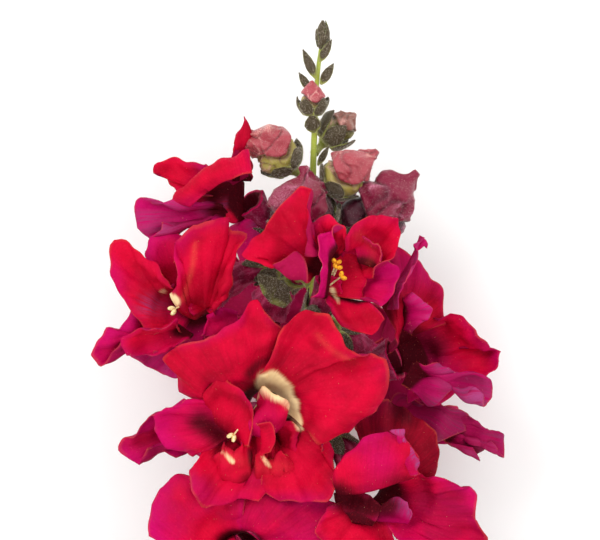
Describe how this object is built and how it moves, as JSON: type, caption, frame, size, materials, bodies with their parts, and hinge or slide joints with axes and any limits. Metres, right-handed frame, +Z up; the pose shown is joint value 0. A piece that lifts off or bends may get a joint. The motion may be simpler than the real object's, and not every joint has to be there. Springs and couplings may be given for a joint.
{
  "type": "cut snapdragon",
  "caption": "Cut stem of a red double snapdragon lying on its side, with open blooms, closed buds and leaves.",
  "frame": {"origin": "on the table, in the middle of the footprint", "axes": "+Y along the stem towards the tip of the spike, +X to the right seen from above with the tip up, +Z up from the table"},
  "size_m": [0.086, 0.2858, 0.0524],
  "materials": {
    "petal": "matte",
    "bud": "matte",
    "calyx": "matte",
    "stem": "satin",
    "leaf": "matte"
  },
  "bodies": {
    "root": {"bloom_back_bottom_calyx": "calyx", "bloom_back_bottom_corolla": "petal", "bloom_back_left_calyx": "calyx", "bloom_back_left_corolla": "petal", "bloom_back_right_calyx": "calyx", "bloom_back_right_corolla": "petal", "bloom_bottom_calyx": "calyx", "bloom_bottom_corolla": "petal", "bloom_bottom_right_calyx": "calyx", "bloom_bottom_right_corolla": "petal", "bloom_centre_calyx": "calyx", "bloom_centre_corolla": "petal", "bloom_far_left_calyx": "calyx", "bloom_far_left_corolla": "petal", "bloom_far_right_calyx": "calyx", "bloom_far_right_corolla": "petal", "bloom_left_calyx": "calyx", "bloom_left_corolla": "petal", "bloom_lower_left_calyx": "calyx", "bloom_lower_left_corolla": "petal", "bloom_lower_right_calyx": "calyx", "bloom_lower_right_corolla": "petal", "bloom_right_calyx": "calyx", "bloom_right_corolla": "petal", "bloom_upper_left_calyx": "calyx", "bloom_upper_left_corolla": "petal", "bloom_upper_right_calyx": "calyx", "bloom_upper_right_corolla": "petal", "bract_1": "leaf", "bract_2": "leaf", "bract_3": "leaf", "bract_4": "leaf", "bract_5": "leaf", "bract_6": "leaf", "bud_a_calyx": "calyx", "bud_a_corolla": "bud", "bud_b_calyx": "calyx", "bud_b_corolla": "bud", "bud_c_calyx": "calyx", "bud_c_corolla": "bud", "bud_d_calyx": "calyx", "bud_d_corolla": "bud", "bud_e_calyx": "calyx", "bud_e_corolla": "bud", "bud_f_calyx": "calyx", "bud_f_corolla": "bud", "bud_g_calyx": "calyx", "bud_g_corolla": "bud", "leaf_1": "leaf", "leaf_2": "leaf", "leaf_3": "leaf", "leaf_4": "leaf", "leaf_5": "leaf", "leaf_6": "leaf", "stem": "stem", "tip_bud": "calyx"}
  },
  "joints": []
}
